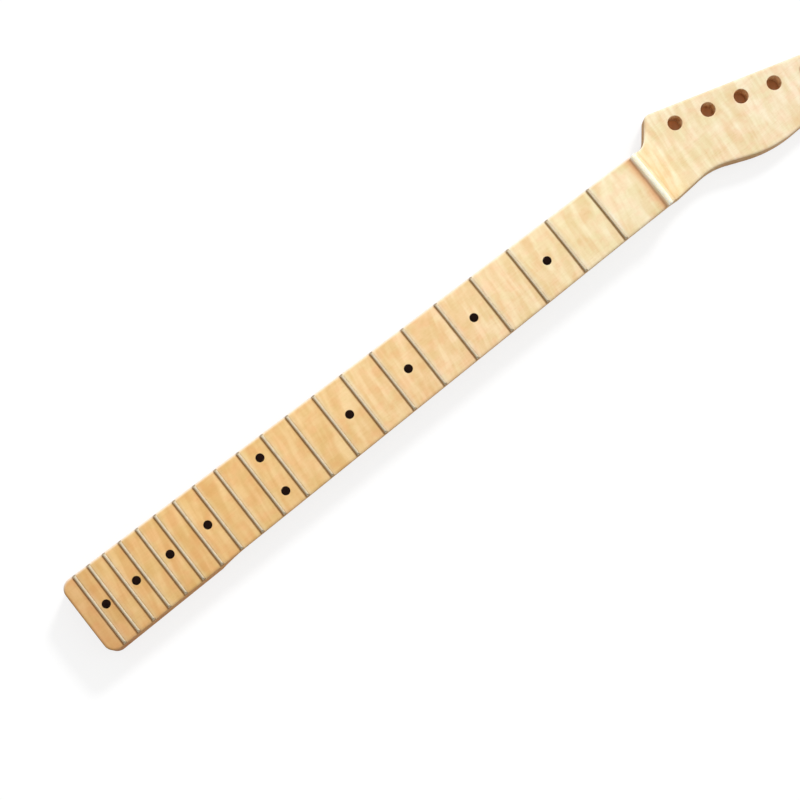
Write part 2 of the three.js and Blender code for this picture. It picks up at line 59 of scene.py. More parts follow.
# Rounded back
back_relief_at_first_fret = 4.4
back_relief_at_twelfth_fret = 2.4
profile_exponent = 2.3
profile_side_margin = 0.4
profile_shoulder_depth = 2
heel_scoop_from_end = 108
heel_scoop_radius = 22
heel_scoop_angle = 75
back_ramp_before_nut = 34
back_ramp_radius = 40
back_ramp_angle = 20
back_spread_radius = 16
back_spread_angle = 75
back_outside_blank = 60

# Headstock
headstock_thickness = 14.4
headstock_bass_reach = 37.6
headstock_treble_reach = 33.1
bass_edge_angle = 16.2
flare_corner_radius = 14
bass_corner_radius = 5
tip_bass_radius = 12
tip_treble_radius = 9
shoulder_radius = 85
waist_radius = 45
face_ramp_radius = 18
nut_ledge_length = 2
tuner_count = 6
tuner_hole_diameter = 10
tuner_pitch = 24.05
tuner_line_angle = 15.7
tuner_first_from_nut = 40.2
tuner_edge_distance = 12
tip_past_last_tuner = 33
bass_corner_along_share = 0.1418
flare_corner_along_share = 0.0677
tip_treble_along_share = 0.984
tip_treble_out_share = 0.88
shoulder_along_share = 0.4312
waist_along_share = 0.2217
waist_out_share = 0.5214

# Frets and nut; the nut's top goes by shares of its thickness and of its height above the board
fret_crown_width = 2.4
fret_crown_height = 1.1
fret_tang_thickness = 0.55
fret_tang_depth = 1.6
fret_end_inset = 0.3
fret_end_height_share = 0.15
nut_thickness = 3.4
nut_above_board = 2.3
nut_slot_depth = 3.4
nut_top_shares = ((1, 0.4), (0.88, 0.76), (0.55, 0.97), (0.2, 1), (0.04, 0.97), (0, 0.9))

# Dots
dot_diameter = 6
dot_depth = 2
dot_pair_spacing = 27.2
side_dot_diameter = 2
side_dot_depth = 2
side_dot_below_edge = 2.6
side_dot_pair_spacing = 8
single_dot_frets = (3, 5, 7, 9, 15, 17, 19, 21)
double_dot_fret = 12

# Truss rod and adjuster
rod_diameter = 4.8
rod_side_clearance = 0.6
rod_below_board = 10.6
rod_cover_at_dip = 3.4
channel_end_before_nut = 42
channel_web_at_bore = 3.8
anchor_length = 9
anchor_height = 10
anchor_from_channel_end = 4
adjuster_diameter = 9.2
adjuster_length = 10
adjuster_recess = 1
adjuster_slot_width = 1.6
adjuster_slot_depth = 3
adjuster_floor = 1.6
washer_thickness = 1.2
seat_clearance = 0.05
rod_clearance = 0.2
running_clearance = 0.3
cut_overrun = 6
pocket_overrun = 1
rod_hole_before = 1
rod_hole_beyond = 3

# Roundings that only the fine surface has
top_edge_run = 1.9
top_edge_depth = 0.9
back_edge_radius = 0.9
fret_end_slope_run = 1.5
fret_end_exponent = 1.5
tang_end_inset = 0.05
crease_half_width = 0.5
ledge_blend_share = 0.06
hole_edge_radius = 0.2
nut_end_radius = 0.5
adjuster_edge = 0.3
dot_edge = 0.08

# Painted shade and painted light on the board and the frets: how far from fret, nut or edge each is full, and
# how far it reaches
fret_shadow_full = 0.3
fret_shadow_reach = 1.2
fret_shadow_blend = 0.2
fret_highlight_reach = 2.8
nut_shadow_full = 3
nut_shadow_reach = 5
nut_warm_shade_reach = 8
nut_bounce_full = 0.4
nut_bounce_reach = 1.7
nut_edge_blend = 0.1
edge_highlight_full_past_nut = 8
edge_highlight_fades_past_nut = 25
fret_end_shade_full = 0.5
fret_end_shade_reach = 1.2
mark_end_share = 0.5
mark_blend_share = 0.01

# Fineness of the fine surface
columns = 64
column_start_angle = 20
edge_rings = 6
wall_rows = 5
heel_arc_step = 3
headstock_arc_step = 1.5
slope_reach = 0.05
least_slope = 0.05
across_step = 2
hole_sides = 64
dot_sides = 48
side_dot_sides = 32
bore_sides = 48
rod_hole_sides = 32
rim_points = 5
crown_points = 17
fret_bevel_stations = 10
tang_end_stations = 4
nut_end_stations = 6
nut_top_steps = 5
channel_stations = 100
channel_end_stations = 13
channel_end_start_radians = 0.04

# Stations along the neck: their spacing, and in pairs the place from which another one holds
heel_spacing = 4
spacings_before_ledge = ((10, 2), (44, 0.3), (62, 1), (74, 4), (406, 1), (416, 0.35))
ledge_half_length = 0.4
ledge_spacing = 0.08
ramp_spacing = 0.35
headstock_start_x = 451
headstock_spacing = 1.6
tip_start_x = 598
tip_stations = 36

# Camera, fitted to the photograph: where it stands, and its right, up and forward directions
camera_place = (70.265, -150.516, 1572.724)
camera_right = (0.785406, -0.618788, 0.01547)
camera_up = (0.612531, 0.780578, 0.124511)
camera_forward = (0.089121, 0.088316, -0.992098)
camera_near = 50
camera_far = 100000
focal_pixels = 2400
frame_pixels = 800
sensor_width = 36

# Floor and light. Levels are two degrees of facing a direction, and the brightness at both
floor_half_size = 6000
floor_gap = 0.3
floor_shade_reach = 20
key_elevation = 36
key_azimuth = 28
key_spread = 11
key_strength = 2.42
soft_toward = (0.6, 0.4, 0.7)
soft_levels = (-0.2, 0.9, 0.33, 0.75)
metal_toward = (0.6, 0.42, 0.68)
metal_levels = (0.32, 0.72, 0.06, 1)

# Sizes worked out from the ones above
heel_end_x = -heel_seat_length / 2


def fret_distance(number):
    return scale_length * (1 - 2 ** (-number / frets_per_octave))


nut_to_heel_end = fret_distance(fret_count) + board_past_last_fret
nut_x = heel_end_x + nut_to_heel_end
headstock_length = (
    tuner_first_from_nut
    + (tuner_count - 1) * tuner_pitch * math.cos(math.radians(tuner_line_angle))
    + tip_past_last_tuner
)
tip_x = nut_x + headstock_length
ledge_end_x = nut_x + nut_thickness + nut_ledge_length
bass_corner_x = nut_x + bass_corner_along_share * headstock_length


def fret_x(number):
    return nut_x - fret_distance(number)


def between_frets_x(number):
    return (fret_x(number - 1) + fret_x(number)) / 2


def board_half_width(x):
    share = (x - heel_end_x) / nut_to_heel_end
    return (heel_width + (nut_width - heel_width) * share) / 2


def crown_z(y):
    return blank_thickness - board_radius + np.sqrt(board_radius**2 - np.minimum(abs(y), board_radius) ** 2)


def back_relief(x):
    share = (x - fret_x(1)) / (fret_x(double_dot_fret) - fret_x(1))
    return back_relief_at_first_fret + (back_relief_at_twelfth_fret - back_relief_at_first_fret) * share


def flare(distance, radius, degrees):
    """Rise of a line that bends away on an arc from a distance of zero on, and then runs on straight."""
    angle = math.radians(degrees)
    arc_length = radius * math.sin(angle)
    along = np.clip(distance, 0, arc_length)
    beyond = np.maximum(0, distance - arc_length)
    rise = radius - np.sqrt(radius**2 - along**2) + beyond * math.tan(angle)
    return np.minimum(rise, back_outside_blank)


def heel_scoop(x):
    return flare(heel_end_x + heel_scoop_from_end - x, heel_scoop_radius, heel_scoop_angle)


def back_z(x, y):
    """Height of the rounded back's surface, before the flat back of heel and headstock cuts it."""
    ramp = flare(x - (nut_x - back_ramp_before_nut), back_ramp_radius, back_ramp_angle)
    spread = flare(x - nut_x, back_spread_radius, back_spread_angle)
    half_width = board_half_width(x) + profile_side_margin + heel_scoop(x) + spread
    lowest = back_relief(x) - heel_scoop(x) - ramp
    shoulder = blank_thickness - profile_shoulder_depth
    out = np.minimum(np.abs(y) / half_width, 1) ** profile_exponent
    return shoulder - (shoulder - lowest) * (1 - out) ** (1 / profile_exponent)


def low_z(x, y):
    """Height of the neck's underside: rounded back and flat back, with the crease between them eased."""
    surface = back_z(x, y)
    slope_x = (back_z(x + slope_reach, y) - back_z(x - slope_reach, y)) / (2 * slope_reach)
    slope_y = (back_z(x, y + slope_reach) - back_z(x, y - slope_reach)) / (2 * slope_reach)
    blend = crease_half_width * np.maximum(np.hypot(slope_x, slope_y), least_slope)
    near = np.maximum(blend - np.abs(surface), 0) / blend
    return np.maximum(surface, 0) + near**2 * blend / 4


def high_z(x, y):
    """Height of the neck's upper side: crowned board, round ramp behind the nut, flat headstock face."""
    drop = blank_thickness - headstock_thickness
    start = math.acos((face_ramp_radius - drop) / face_ramp_radius)
    arc_x = ledge_end_x + face_ramp_radius * math.sin(start)
    from_arc = np.clip(arc_x - x, 0, face_ramp_radius * math.sin(start))
    height = face_ramp_radius - np.sqrt(face_ramp_radius**2 - from_arc**2)
    before = np.maximum(ledge_end_x - x, 0) * math.tan(start)
    share = (height + before) / drop
    near = np.maximum(ledge_blend_share - np.abs(1 - share), 0) / ledge_blend_share
    share = np.minimum(share, 1) - near**2 * ledge_blend_share / 4
    return headstock_thickness + (crown_z(y) - headstock_thickness) * share


def edge_drop(inset, run, depth):
    """How far a rolled edge has left the flat surface at a distance in from the outline."""
    share = np.clip(1 - inset / run, 0, 1)
    return depth * (1 - np.sqrt(1 - share**2))


def bass_edge_y(x):
    return headstock_bass_reach - (x - bass_corner_x) * math.tan(math.radians(bass_edge_angle))


def corner_arc(before, corner, after, step_degrees):
    """Points of the round arc in a corner given as x, y and radius, each with its normal into the outline."""
    place = np.array(corner[:2], float)
    radius = corner[2]
    back = np.array(before[:2], float) - place
    ahead = np.array(after[:2], float) - place
    back /= np.linalg.norm(back)
    ahead /= np.linalg.norm(ahead)
    half = math.acos(float(back @ ahead)) / 2
    middle = back + ahead
    centre = place + middle / np.linalg.norm(middle) * radius / math.sin(half)
    start = place + back * radius / math.tan(half) - centre
    turn = -math.copysign(math.pi - 2 * half, back[0] * ahead[1] - back[1] * ahead[0])
    count = max(2, math.ceil(abs(math.degrees(turn)) / step_degrees))
    angles = np.linspace(0, turn, count + 1)
    cosine, sine = np.cos(angles), np.sin(angles)
    spin = np.stack([cosine * start[0] - sine * start[1], sine * start[0] + cosine * start[1]], axis=1)
    inward = -spin / radius * math.copysign(1, turn)
    return np.hstack([centre + spin, inward])


def outline_sides():
    """The outline as two paths of points and inward normals, from the heel's end line to the tip's."""
    flare_corner_x = nut_x + flare_corner_along_share * headstock_length

    def treble(along_share, out_share):
        return nut_x + along_share * headstock_length, -out_share * headstock_treble_reach

    corners = [
        (heel_end_x, board_half_width(heel_end_x), heel_corner_radius),
        (heel_end_x, -board_half_width(heel_end_x), heel_corner_radius),
        (nut_x, -board_half_width(nut_x), waist_radius),
        (*treble(waist_along_share, waist_out_share), waist_radius),
        (*treble(shoulder_along_share, 1), shoulder_radius),
        (*treble(tip_treble_along_share, tip_treble_out_share), tip_treble_radius),
        (tip_x, bass_edge_y(tip_x), tip_bass_radius),
        (bass_corner_x, headstock_bass_reach, bass_corner_radius),
        (flare_corner_x, board_half_width(flare_corner_x), flare_corner_radius),
    ]
    steps = [heel_arc_step] * 2 + [headstock_arc_step] * (len(corners) - 2)
    arcs = [
        corner_arc(corners[i - 1], corners[i], corners[(i + 1) % len(corners)], steps[i])
        for i in range(len(corners))
    ]
    treble_path = np.vstack(arcs[1:6])
    bass_path = np.vstack([arcs[6], arcs[7], arcs[8], arcs[0]])[::-1]
    return treble_path, bass_path, arcs[1][:, 0]


def spaced(low, high, step):
    count = max(1, math.ceil((high - low) / step))
    return np.linspace(low, high, count + 1)[:-1]


def station_places(heel_arc_x):
    """Places along the neck, close together where its creases lie."""
    starts = [
        (heel_arc_x[-1], heel_spacing),
        *spacings_before_ledge,
        (ledge_end_x - ledge_half_length, ledge_spacing),
        (ledge_end_x + ledge_half_length, ramp_spacing),
        (headstock_start_x, headstock_spacing),
    ]
    ends = [place for place, _ in starts[1:]] + [tip_start_x]
    runs = [spaced(low, high, step) for (low, step), high in zip(starts, ends)]
    return np.concatenate([heel_arc_x[:-1], *runs])


def along_x(path, places):
    return np.stack([np.interp(places, path[:, 0], column) for column in path.T], axis=1)


def round_tip(path):
    """Evenly spaced points on what is left of a path past the last place along the neck."""
    start = along_x(path[: np.argmax(path[:, 0]) + 1], np.array([tip_start_x]))
    rest = np.vstack([start, path[np.argmax(path[:, 0] > tip_start_x) :]])
    run = np.concatenate([[0], np.cumsum(np.hypot(*np.diff(rest[:, :2], axis=0).T))])
    places = np.linspace(0, run[-1], tip_stations)
    return np.stack([np.interp(places, run, column) for column in rest.T], axis=1)


def across_shares():
    """Shares of the way across the neck, closer together towards both edges."""
    angles = np.radians(np.linspace(column_start_angle, 180 - column_start_angle, columns + 1))
    cosine = np.cos(angles)
    out = np.sign(cosine) * np.abs(cosine) ** (2 / profile_exponent)
    return (1 - out / out[0]) / 2


def neck_loop():
    """The closed loop round the plan, each point with its inward normal, and how many points a side has."""
    treble_path, bass_path, heel_arc_x = outline_sides()
    places = station_places(heel_arc_x)
    treble = np.vstack([along_x(treble_path, places), round_tip(treble_path)])
    bass = np.vstack([along_x(bass_path, places), round_tip(bass_path)])
    shares = across_shares()[1:-1, None]
    tip_line = treble[-1] + (bass[-1] - treble[-1]) * shares
    heel_line = bass[0] + (treble[0] - bass[0]) * (1 - shares[::-1])
    for line in (tip_line, heel_line):
        line[:, 2:] /= np.linalg.norm(line[:, 2:], axis=1, keepdims=True)
    loop = np.vstack([heel_line, treble, tip_line, bass[::-1]])
    return loop, len(treble)


def neck_mesh(name):
    """The neck's whole surface as one closed mesh of quads, without its slots, pockets and holes."""
    loop, stations = neck_loop()
    shares = across_shares()
    ring_angles = np.linspace(0, math.pi / 2, edge_rings + 1)
    vertices = []
    faces = []
    count = len(loop)
    line = columns - 1
    treble_at = line + np.arange(stations)
    tip_at = line + stations + np.arange(line)
    bass_at = (line + stations + line + np.arange(stations))[::-1]

    def add(points):
        first = sum(len(v) for v in vertices)
        vertices.append(points)
        return first + np.arange(len(points))

    def add_quads(quads, flipped):
        faces.append(quads[:, ::-1] if flipped else quads)

    def strip(outer, inside, flipped):
        following = np.roll(np.arange(count), -1)
        add_quads(np.stack([outer, outer[following], inside[following], inside], axis=-1), flipped)

    def side(surface, run, depth, sign, flipped):
        """One side with its rolled edge: rings in from the outline, and a grid inside them."""
        rings = []
        for angle in ring_angles:
            inset = run * (1 - math.cos(angle))
            x = loop[:, 0] + loop[:, 2] * inset
            y = loop[:, 1] + loop[:, 3] * inset
            z = surface(x, y) + sign * depth * (1 - math.sin(angle))
            rings.append(add(np.stack([x, y, z], axis=1)))
        inner = np.vstack(vertices)[rings[-1]]
        from_treble = inner[treble_at[1:-1]]
        to_bass = inner[bass_at[1:-1]]
        plan = from_treble[:, None, :] + (to_bass - from_treble)[:, None, :] * shares[None, 1:-1, None]
        x, y = plan[..., 0].ravel(), plan[..., 1].ravel()
        middle = add(np.stack([x, y, surface(x, y)], axis=1)).reshape(stations - 2, line)
        grid = np.empty((stations, columns + 1), int)
        grid[:, 0] = rings[-1][treble_at]
        grid[:, -1] = rings[-1][bass_at]
        grid[1:-1, 1:-1] = middle
        grid[0, 1:-1] = rings[-1][:line][::-1]
        grid[-1, 1:-1] = rings[-1][tip_at]
        quads = np.stack([grid[:-1, :-1], grid[1:, :-1], grid[1:, 1:], grid[:-1, 1:]], axis=-1)
        add_quads(quads.reshape(-1, 4), flipped)
        for outer, inside in zip(rings[:-1], rings[1:]):
            strip(outer, inside, flipped)
        return rings[0]

    top = side(high_z, top_edge_run, top_edge_depth, -1, False)
    low = side(low_z, back_edge_radius, back_edge_radius, 1, True)
    points = np.vstack(vertices)
    rows = [low]
    for share in np.linspace(0, 1, wall_rows + 1)[1:-1]:
        rows.append(add(points[low] + (points[top] - points[low]) * share))
    rows.append(top)
    for lower, upper in zip(rows[:-1], rows[1:]):
        strip(lower, upper, False)
    return mesh_object(name, np.vstack(vertices), np.vstack(faces))


def linked(name, data):
    """A new object in the scene that holds a mesh, a camera or a lamp."""
    made = bpy.data.objects.new(name, data)
    bpy.context.scene.collection.objects.link(made)
    return made


def mesh_object(name, vertices, faces):
    mesh = bpy.data.meshes.new(name)
    points = [tuple(vertex * METRES) for vertex in vertices]
    mesh.from_pydata(points, [], [tuple(int(i) for i in face) for face in faces])
    mesh.validate()
    mesh.update()
    return linked(name, mesh)


def outward(piece):
    """The piece with all its faces turned outward."""
    work = bmesh.new()
    work.from_mesh(piece.data)
    bmesh.ops.recalc_face_normals(work, faces=work.faces)
    work.to_mesh(piece.data)
    work.free()
    return piece


def lofted(name, sections):
    """A closed mesh through sections that have as many points each, with flat ends."""
    rings = np.asarray(sections, float)
    count, size = rings.shape[:2]
    start = np.arange(count - 1)[:, None] * size
    at = np.arange(size)[None, :]
    after = (at + 1) % size
    quads = np.stack([start + at, start + after, start + size + after, start + size + at], axis=-1)
    ends = [range(size)[::-1], range((count - 1) * size, count * size)]
    return outward(mesh_object(name, rings.reshape(-1, 3), [*quads.reshape(-1, 4), *ends]))


def turned(name, profile, place, axis, sides):
    """A solid of revolution: profile of radius and height along the axis, from the axis and back to it."""
    angles = np.linspace(0, 2 * math.pi, sides, endpoint=False)
    rings = [[(r * math.cos(a), r * math.sin(a), h) for a in angles] for r, h in profile[1:-1]]
    vertices = [(0, 0, profile[0][1])] + [v for ring in rings for v in ring] + [(0, 0, profile[-1][1])]
    ring_starts = [1 + k * sides for k in range(len(rings))]
    faces = []
    for i in range(sides):
        j = (i + 1) % sides
        faces.append((0, 1 + j, 1 + i))
        for a, b in zip(ring_starts[:-1], ring_starts[1:]):
            faces.append((a + i, a + j, b + j, b + i))
        faces.append((ring_starts[-1] + i, ring_starts[-1] + j, len(vertices) - 1))
    turn = Vector((0, 0, 1)).rotation_difference(Vector(axis)).to_matrix()
    return outward(mesh_object(name, [turn @ Vector(v) + Vector(place) for v in vertices], faces))


def box_between(name, low, high):
    (x0, y0, z0), (x1, y1, z1) = low, high
    return lofted(name, [[(x, y0, z0), (x, y1, z0), (x, y1, z1), (x, y0, z1)] for x in (x0, x1)])


def combine(piece, other, operation):
    """Cuts the piece by another or intersects it with the other, which is then deleted."""
    step = piece.modifiers.new(operation, "BOOLEAN")
    step.operation = operation
    step.solver = "MANIFOLD"
    step.object = other
    bpy.context.view_layer.update()
    result = bpy.data.meshes.new_from_object(piece.evaluated_get(bpy.context.evaluated_depsgraph_get()))
    piece.modifiers.clear()
    piece.data = result
    bpy.data.objects.remove(other)


def joined(name, pieces):
    """One mesh object of several."""
    work = bmesh.new()
    for piece in pieces:
        work.from_mesh(piece.data)
        bpy.data.objects.remove(piece)
    mesh = bpy.data.meshes.new(name)
    work.to_mesh(mesh)
    work.free()
    return linked(name, mesh)


def tuner_centres():
    first_x = nut_x + tuner_first_from_nut
    first_y = bass_edge_y(first_x) - tuner_edge_distance / math.cos(math.radians(bass_edge_angle))
    angle = math.radians(tuner_line_angle)
    return [
        (first_x + i * tuner_pitch * math.cos(angle), first_y - i * tuner_pitch * math.sin(angle))
        for i in range(tuner_count)
    ]


def rounded_rim(radius, height, upward):
    """Quarter round from a hole's wall out to a face; upward is 1 where the face looks up and -1 below."""
    edge = hole_edge_radius
    angles = np.linspace(0, math.pi / 2, rim_points)
    return [
        (radius + edge - edge * math.cos(a), height - upward * (edge - edge * math.sin(a))) for a in angles
    ]


def tuner_hole(centre):
    radius = tuner_hole_diameter / 2
    outer = radius + hole_edge_radius
    end = headstock_thickness + cut_overrun
    rims = [*rounded_rim(radius, 0, -1)[::-1], *rounded_rim(radius, headstock_thickness, 1)]
    profile = [(0, -cut_overrun), (outer, -cut_overrun), *rims, (outer, end), (0, end)]
    return turned("tuner_hole", profile, (*centre, 0), (0, 0, 1), hole_sides)


def across_places(half_length):
    return np.linspace(-half_length, half_length, 2 * math.ceil(half_length / across_step) + 1)


def fret_slot(number):
    x = fret_x(number)
    half = fret_tang_thickness / 2 + seat_clearance
    sections = []
    for y in across_places(board_half_width(x) + cut_overrun):
        low = crown_z(y) - (fret_tang_depth + seat_clearance)
        high = crown_z(y) + cut_overrun
        sections.append([(x - half, y, low), (x + half, y, low), (x + half, y, high), (x - half, y, high)])
    return lofted("fret_slot", sections)


rod_end_z = blank_thickness - rod_below_board
channel_width = rod_diameter + 2 * rod_side_clearance
bore_depth = adjuster_recess + adjuster_length + washer_thickness + 2 * seat_clearance
channel_low_x = heel_end_x + bore_depth + channel_web_at_bore
channel_high_x = nut_x - channel_end_before_nut
anchor_high_x = channel_high_x - channel_width / 2 - anchor_from_channel_end
anchor_low_x = anchor_high_x - anchor_length
rod_middle_x = (channel_low_x + anchor_low_x) / 2
rod_dip = rod_end_z - (back_relief(rod_middle_x) + rod_cover_at_dip + rod_diameter / 2)
rod_half_space = rod_diameter / 2 + rod_clearance
adjuster_bore_radius = adjuster_diameter / 2 + running_clearance


def rod_z(x):
    share = np.clip((x - channel_low_x) / (anchor_low_x - channel_low_x), 0, 1)
    return rod_end_z - rod_dip * np.sin(math.pi * share) ** 2


def under_rod(name, offset, clearance):
    """The routed channel with round ends, up to a line that follows the rod at an offset."""
    half = channel_width / 2 - clearance
    low, high = channel_low_x + clearance, channel_high_x - clearance
    angles = np.linspace(channel_end_start_radians, math.pi / 2, channel_end_stations)
    ends = half * (1 - np.cos(angles))
    end_widths = half * np.sin(angles)
    middle = np.linspace(low + half, high - half, channel_stations)[1:-1]
    places = [*(low + ends), *middle, *(high - ends[::-1])]
    widths = [*end_widths, *[half] * len(middle), *end_widths[::-1]]
    sections = []
    for x, w in zip(places, widths):
        top = float(rod_z(x)) + offset
        sections.append([(x, -w, -cut_overrun), (x, w, -cut_overrun), (x, w, top), (x, -w, top)])
    return lofted(name, sections)


def dots():
    """Each dot's name, place, outward direction, diameter, depth and number of sides."""
    singles = [(f"{fret:02d}", between_frets_x(fret)) for fret in single_dot_frets]
    middle = between_frets_x(double_dot_fret)
    found = []

    apart = dot_pair_spacing / 2
    lean = math.asin(apart / board_radius)
    pair = [(f"{double_dot_fret}_bass", middle, apart), (f"{double_dot_fret}_treble", middle, -apart)]
    for name, x, y in [*[(*single, 0) for single in singles], *pair]:
        place = (x, y, float(crown_z(y)))
        axis = (0, math.sin(lean) * np.sign(y), math.cos(lean) if y else 1)
        found.append((f"dot_{name}", place, axis, dot_diameter, dot_depth, dot_sides))

    apart = side_dot_pair_spacing / 2
    taper = math.atan((heel_width - nut_width) / 2 / nut_to_heel_end)
    axis = (math.sin(taper), math.cos(taper), 0)
    pair = [(f"{double_dot_fret}_low", middle - apart), (f"{double_dot_fret}_high", middle + apart)]
    for name, x in [*singles, *pair]:
        y = board_half_width(x)
        place = (x, y, float(crown_z(y)) - side_dot_below_edge)
        found.append((f"side_dot_{name}", place, axis, side_dot_diameter, side_dot_depth, side_dot_sides))
    return found


def disc(name, place, axis, diameter, depth, sides):
    """A round inlay with its clearance, whose outer face lies at its place, with a fine eased edge."""
    radius = diameter / 2 - seat_clearance
    edge = dot_edge
    rim = [(radius, -edge), (radius - edge / 3, -edge / 3), (radius - edge, 0)]
    return turned(name, [(0, -depth), (radius, -depth), *rim, (0, 0)], place, axis, sides)


def cylinder(place, axis, radius, low, high, sides):
    profile = [(0, low), (radius, low), (radius, high), (0, high)]
    return turned("cylinder", profile, place, axis, sides)


def pocket(place, axis, diameter, depth, sides):
    return cylinder(place, axis, diameter / 2, -depth - seat_clearance, pocket_overrun, sides)


def adjuster_bore():
    radius = adjuster_bore_radius
    start = [(0, -cut_overrun), (radius + hole_edge_radius, -cut_overrun)]
    profile = [*start, *rounded_rim(radius, 0, -1)[::-1], (radius, bore_depth), (0, bore_depth)]
    return turned("bore", profile, (heel_end_x, 0, rod_end_z), (1, 0, 0), hole_sides)


def carve(neck):
    cutters = [tuner_hole(centre) for centre in tuner_centres()]
    cutters += [fret_slot(number) for number in range(1, fret_count + 1)]
    cutters += [pocket(*shape) for _, *shape in dots()]
    half = board_half_width(nut_x) + cut_overrun
    cutters.append(box_between(
        "nut_slot",
        (nut_x, -half, blank_thickness - nut_slot_depth),
        (nut_x + nut_thickness, half, blank_thickness + cut_overrun),
    ))
    cutters.append(adjuster_bore())
    cutters.append(under_rod("channel", rod_half_space, 0))
    combine(neck, joined("cutters", cutters), "DIFFERENCE")
    half = channel_width / 2 - seat_clearance / 2
    rise = anchor_height / 2 + seat_clearance
    combine(neck, box_between(
        "anchor_pocket",
        (anchor_low_x - seat_clearance, -half, rod_end_z - rise),
        (anchor_high_x + seat_clearance, half, rod_end_z + rise),
    ), "DIFFERENCE")
    length = rod_hole_before + channel_web_at_bore + rod_hole_beyond
    start = (heel_end_x + bore_depth - rod_hole_before, 0, rod_end_z)
    rod_hole = cylinder(start, (1, 0, 0), rod_half_space, 0, length, rod_hole_sides)
    combine(neck, rod_hole, "DIFFERENCE")


def smooth_path(points, steps):
    """A smooth curve through a few points, with so many steps between each two."""
    known = np.array([points[0], *points, points[-1]], float)
    curve = [known[1]]
    for a, b, c, d in zip(known, known[1:], known[2:], known[3:]):
        for t in np.arange(1, steps + 1) / steps:
            bend = (2 * a - 5 * b + 4 * c - d) * t**2 + (3 * b - a - 3 * c + d) * t**3
            curve.append((2 * b + (c - a) * t + bend) / 2)
    return np.array(curve)


def fret_piece(number):
    """A fret: a crown that bends with the board and ends on slopes, and a tang to the board's sides."""
    x = fret_x(number)
    half_length = board_half_width(x) - fret_end_inset
    bevel_start = half_length - fret_end_slope_run
    bevel = np.linspace(bevel_start, half_length, fret_bevel_stations)[1:]
    past_end = np.linspace(half_length, board_half_width(x) - tang_end_inset, tang_end_stations)[1:]
    places = [*-bevel[::-1], *across_places(bevel_start), *bevel]
    angles = np.linspace(0, math.pi, crown_points)
    low_x, high_x = x - fret_tang_thickness / 2, x + fret_tang_thickness / 2

    def foot_z(y):
        inset = board_half_width(x) - abs(y)
        return crown_z(y) + seat_clearance - edge_drop(inset, top_edge_run, top_edge_depth)

    def crown_section(y):
        share = np.clip((abs(y) - bevel_start) / fret_end_slope_run, 0, 1)
        limit = fret_crown_height * (1 - (1 - fret_end_height_share) * share**fret_end_exponent)
        rises = [min(fret_crown_height * math.sin(a), limit) for a in angles]
        return [
            (x + fret_crown_width / 2 * math.cos(a), y, foot_z(y) + rise) for a, rise in zip(angles, rises)
        ]

    def tang_section(y):
        low, high = crown_z(y) - fret_tang_depth, foot_z(y)
        return [(low_x, y, high), (low_x, y, low), (high_x, y, low), (high_x, y, high)]

    crown = lofted("crown", [crown_section(y) for y in places])
    tang = lofted("tang", [tang_section(y) for y in [*-past_end[::-1], *places, *past_end]])
    return joined(f"fine_fret_{number:02d}", [crown, tang])


def nut_piece():
    """The nut: flat under its slot's floor, rounded on top, its ends eased."""
    low_x = nut_x + seat_clearance
    thickness = nut_thickness - 2 * seat_clearance
    floor_z = blank_thickness - nut_slot_depth + seat_clearance
    half_length = board_half_width(nut_x + nut_thickness)
    top = smooth_path(nut_top_shares, nut_top_steps)
    ends = nut_end_radius * (1 - np.cos(np.linspace(0, math.pi / 2, nut_end_stations)))
    middle = across_places(half_length - nut_end_radius)[1:-1]
    sections = []
    for y in [*(ends - half_length), *middle, *(half_length - ends[::-1])]:
        shrink = float(edge_drop(half_length - abs(y), nut_end_radius, nut_end_radius))
        left, right = low_x + shrink, low_x + thickness - shrink
        high = crown_z(y) - shrink
        rise = [(left + along * (right - left), y, high + up * nut_above_board) for along, up in top]
        sections.append([(left, y, floor_z), (right, y, floor_z), *rise])
    return lofted("fine_nut", sections)


def adjuster_piece():
    """The truss rod's round nut, with eased edges, a cross slot and a blind bore."""
    radius = adjuster_diameter / 2
    edge = adjuster_edge
    low_x = heel_end_x + adjuster_recess
    place = (low_x, 0, rod_end_z)
    profile = [
        (0, 0), (radius - 2 * edge, 0), (radius - edge, edge / 3), (radius, 2 * edge),
        (radius, adjuster_length - edge), (radius - edge, adjuster_length), (0, adjuster_length),
    ]
    piece = turned("fine_adjuster", profile, place, (1, 0, 0), hole_sides)
    half = adjuster_slot_width / 2
    reach = adjuster_diameter
    for half_y, half_z in ((half, reach), (reach, half)):
        low = (low_x - cut_overrun, -half_y, rod_end_z - half_z)
        high = (low_x + adjuster_slot_depth, half_y, rod_end_z + half_z)
        combine(piece, box_between("slot", low, high), "DIFFERENCE")
    floor = adjuster_slot_depth + adjuster_floor
    end = adjuster_length + cut_overrun
    bore = cylinder(place, (1, 0, 0), rod_half_space, floor, end, bore_sides)
    combine(piece, bore, "DIFFERENCE")
    return piece


